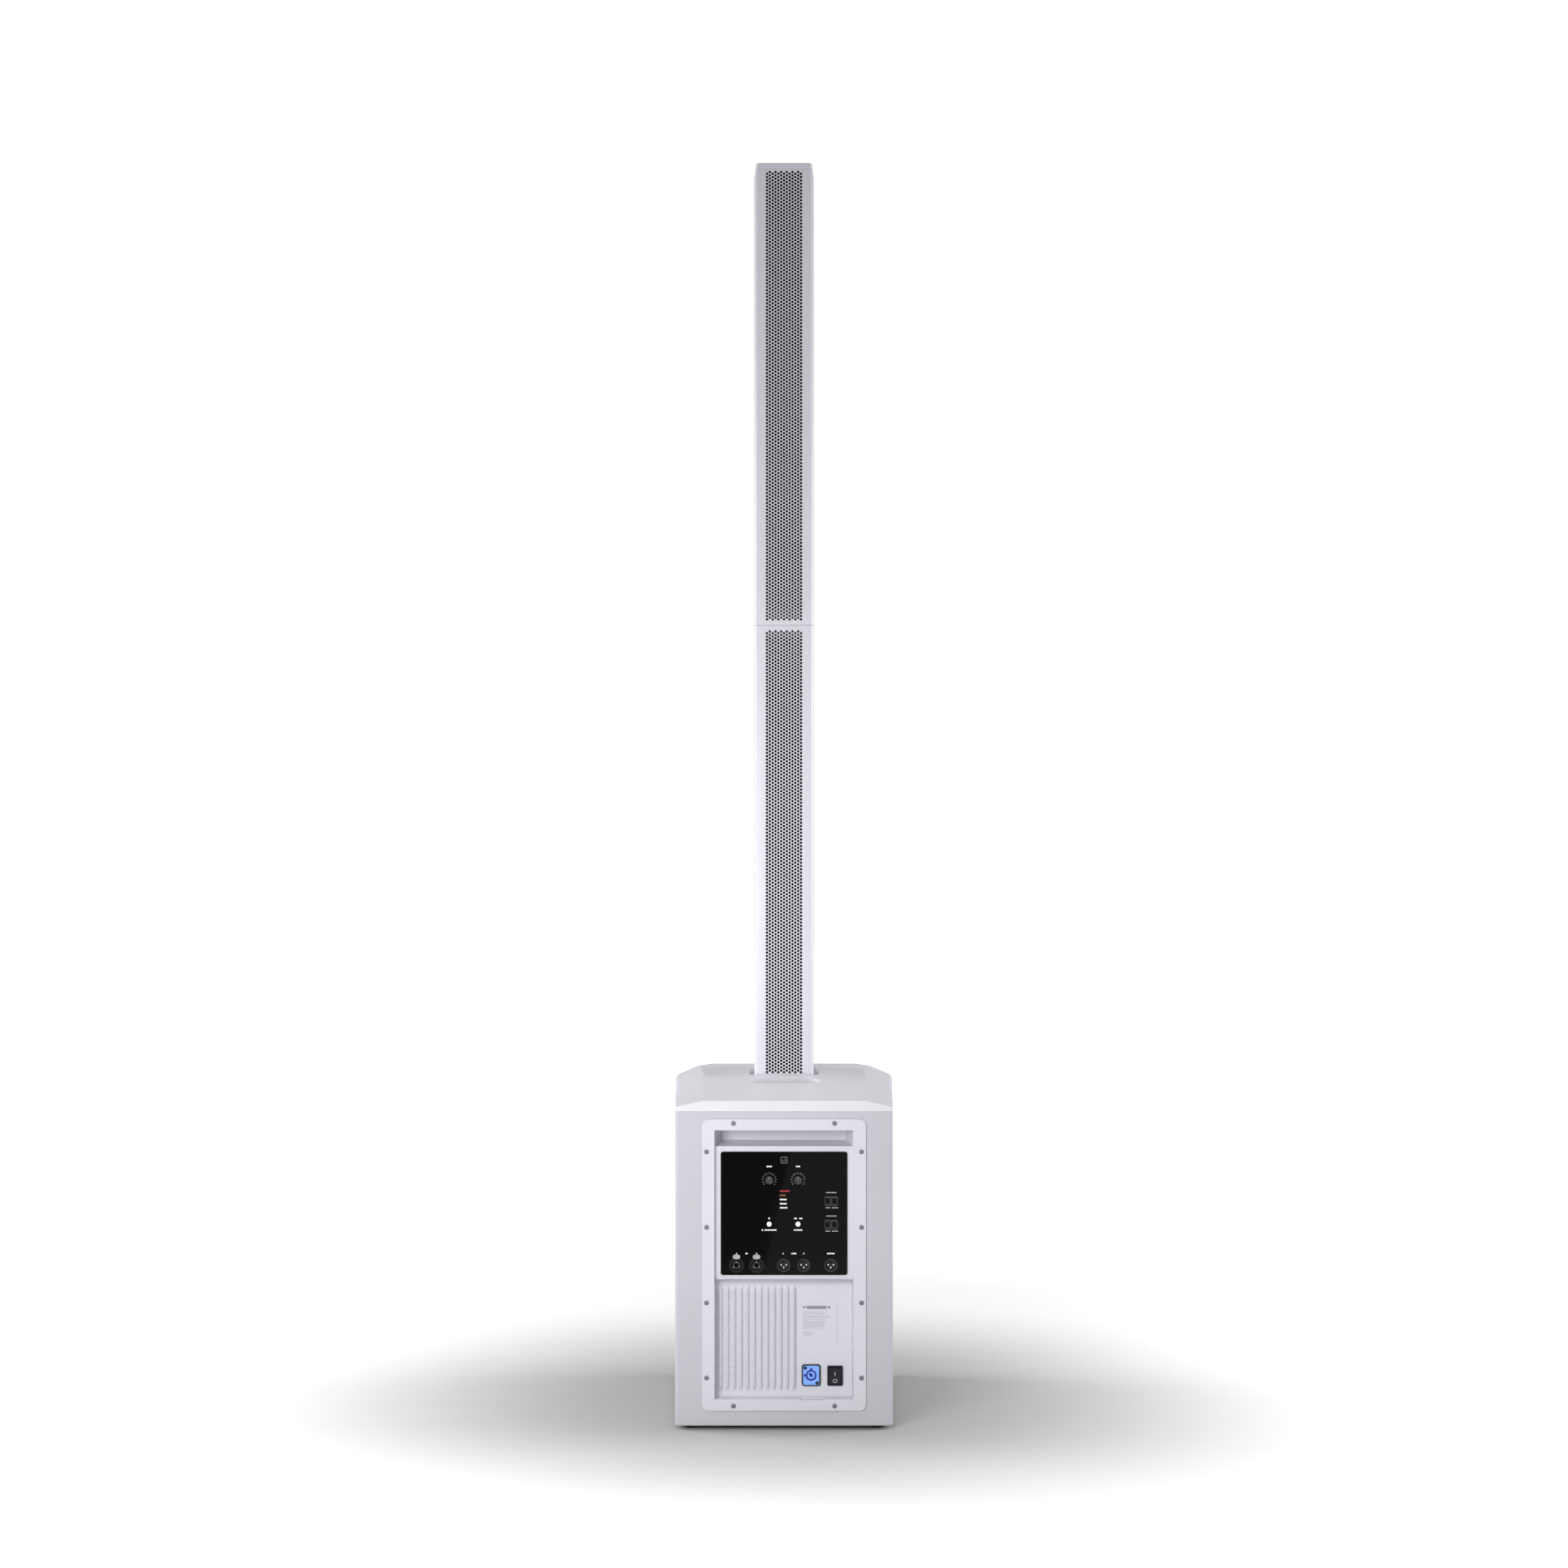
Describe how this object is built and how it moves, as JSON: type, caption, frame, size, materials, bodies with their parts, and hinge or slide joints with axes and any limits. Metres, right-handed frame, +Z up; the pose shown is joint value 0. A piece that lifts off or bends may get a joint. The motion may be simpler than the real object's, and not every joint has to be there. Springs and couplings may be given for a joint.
{
  "type": "column loudspeaker system",
  "caption": "Column loudspeaker system: a flared white subwoofer base with a rear mixer panel and a slim two-element column that lifts out of a well in its top.",
  "frame": {"origin": "middle of the footprint, on the surface that the feet stand on", "axes": "+Z up; the rear, with the control panel, faces -Y and the front grille faces +Y"},
  "size_m": [0.381, 0.4684, 2.119],
  "materials": {
    "white_cabinet": "white textured paint on plywood",
    "white_cover": "fine-grained white moulding",
    "white_plate": "fine-grained white moulding",
    "white_column": "white powder coat",
    "white_grille": "white powder coat on perforated sheet",
    "white_column_cap": "fine-grained white moulding",
    "panel_black": "high gloss",
    "knob_black": "satin",
    "button_white": "translucent gloss",
    "latch_grey": "satin",
    "socket_black": "satin",
    "inlet_blue": "satin",
    "switch_black": "satin gloss",
    "light_bars": "clear light guide",
    "potentiometer_steel": "plated",
    "circuit_board": "solder mask",
    "heat_spreader": "mill finish",
    "birch_ply": "unfinished",
    "inner_black": "plain",
    "rubber": "matt",
    "driver_metal": "black paint",
    "magnet": "ferrite and plated steel",
    "driver_array": "black paint",
    "cone_paper": "coated paper",
    "coil": "enamelled wire",
    "acoustic_foam": "open-cell foam"
  },
  "bodies": {
    "base": {"cabinet_shell": "white_cabinet", "base_cap": "white_cover", "amp_plate": "white_plate", "sub_grille": "white_grille", "control_panel": "panel_black", "left_input_socket": "socket_black", "right_input_socket": "socket_black", "left_output_socket": "socket_black", "right_output_socket": "socket_black", "sub_output_socket": "socket_black", "upper_link_jacks": "socket_black", "lower_link_jacks": "socket_black", "inlet_surround": "socket_black", "inlet_body": "inlet_blue", "switch_bezel": "switch_black", "level_lights": "light_bars", "main_level_pot": "potentiometer_steel", "bass_level_pot": "potentiometer_steel", "control_board": "circuit_board", "amplifier_board": "circuit_board", "power_supply_board": "circuit_board", "heat_spreader": "heat_spreader", "front_baffle": "birch_ply", "left_port_tube": "inner_black", "right_port_tube": "inner_black", "well_connector": "inner_black", "front_left_foot": "rubber", "front_right_foot": "rubber", "rear_left_foot": "rubber", "rear_right_foot": "rubber", "woofer_surround": "rubber", "woofer_basket": "driver_metal", "woofer_magnet": "magnet"},
    "woofer_motion": {"woofer_cone": "cone_paper", "woofer_voice_coil": "coil"},
    "main_level": {"main_level_knob": "knob_black"},
    "bass_level": {"bass_level_knob": "knob_black"},
    "pairing": {"pairing_button": "button_white"},
    "mode": {"mode_button": "button_white"},
    "left_latch": {"left_input_latch": "latch_grey"},
    "right_latch": {"right_input_latch": "latch_grey"},
    "rocker": {"switch_rocker": "switch_black"},
    "lower_column": {"lower_shell": "white_column", "lower_rear_grille": "white_grille", "lower_front_grille": "white_grille", "lower_plug_plate": "inner_black", "lower_top_plate": "inner_black", "lower_driver_array": "driver_array", "lower_rear_foam": "acoustic_foam"},
    "upper_column": {"upper_shell": "white_column", "upper_rear_grille": "white_grille", "upper_front_grille": "white_grille", "upper_top_cap": "white_column_cap", "upper_waveguide": "inner_black", "upper_plug_plate": "inner_black", "upper_driver_array": "driver_array", "upper_rear_foam": "acoustic_foam", "low_tweeter": "driver_array", "high_tweeter": "driver_array"}
  },
  "joints": [
    {"name": "lower_column_lift", "type": "slide", "parent": "base", "child": "lower_column", "axis": [0, 0, 1], "range_m": [0, 0.045]},
    {"name": "upper_column_lift", "type": "slide", "parent": "lower_column", "child": "upper_column", "axis": [0, 0, 1], "range_m": [0, 0.045]},
    {"name": "main_level_turn", "type": "hinge", "parent": "base", "child": "main_level", "pos_m": [-0.0242, -0.22475, 0.408], "axis": [0, 1, 0], "range_deg": [-140, 140]},
    {"name": "bass_level_turn", "type": "hinge", "parent": "base", "child": "bass_level", "pos_m": [0.0229, -0.22475, 0.408], "axis": [0, 1, 0], "range_deg": [-140, 140]},
    {"name": "pairing_press", "type": "slide", "parent": "base", "child": "pairing", "axis": [0, 1, 0], "range_m": [0, 0.0012], "stiffness_N_per_m": 250, "springref_m": -0.001},
    {"name": "mode_press", "type": "slide", "parent": "base", "child": "mode", "axis": [0, 1, 0], "range_m": [0, 0.0012], "stiffness_N_per_m": 250, "springref_m": -0.001},
    {"name": "left_latch_press", "type": "slide", "parent": "base", "child": "left_latch", "axis": [0, 1, 0], "range_m": [0, 0.0015], "stiffness_N_per_m": 250, "springref_m": -0.001},
    {"name": "right_latch_press", "type": "slide", "parent": "base", "child": "right_latch", "axis": [0, 1, 0], "range_m": [0, 0.0015], "stiffness_N_per_m": 250, "springref_m": -0.001},
    {"name": "rocker_tip", "type": "hinge", "parent": "base", "child": "rocker", "pos_m": [0.08365, -0.20725, 0.0851], "axis": [1, 0, 0], "range_deg": [-18, 0]},
    {"name": "woofer_travel", "type": "slide", "parent": "base", "child": "woofer_motion", "axis": [0, 1, 0], "range_m": [-0.004, 0.004], "stiffness_N_per_m": 3000}
  ]
}
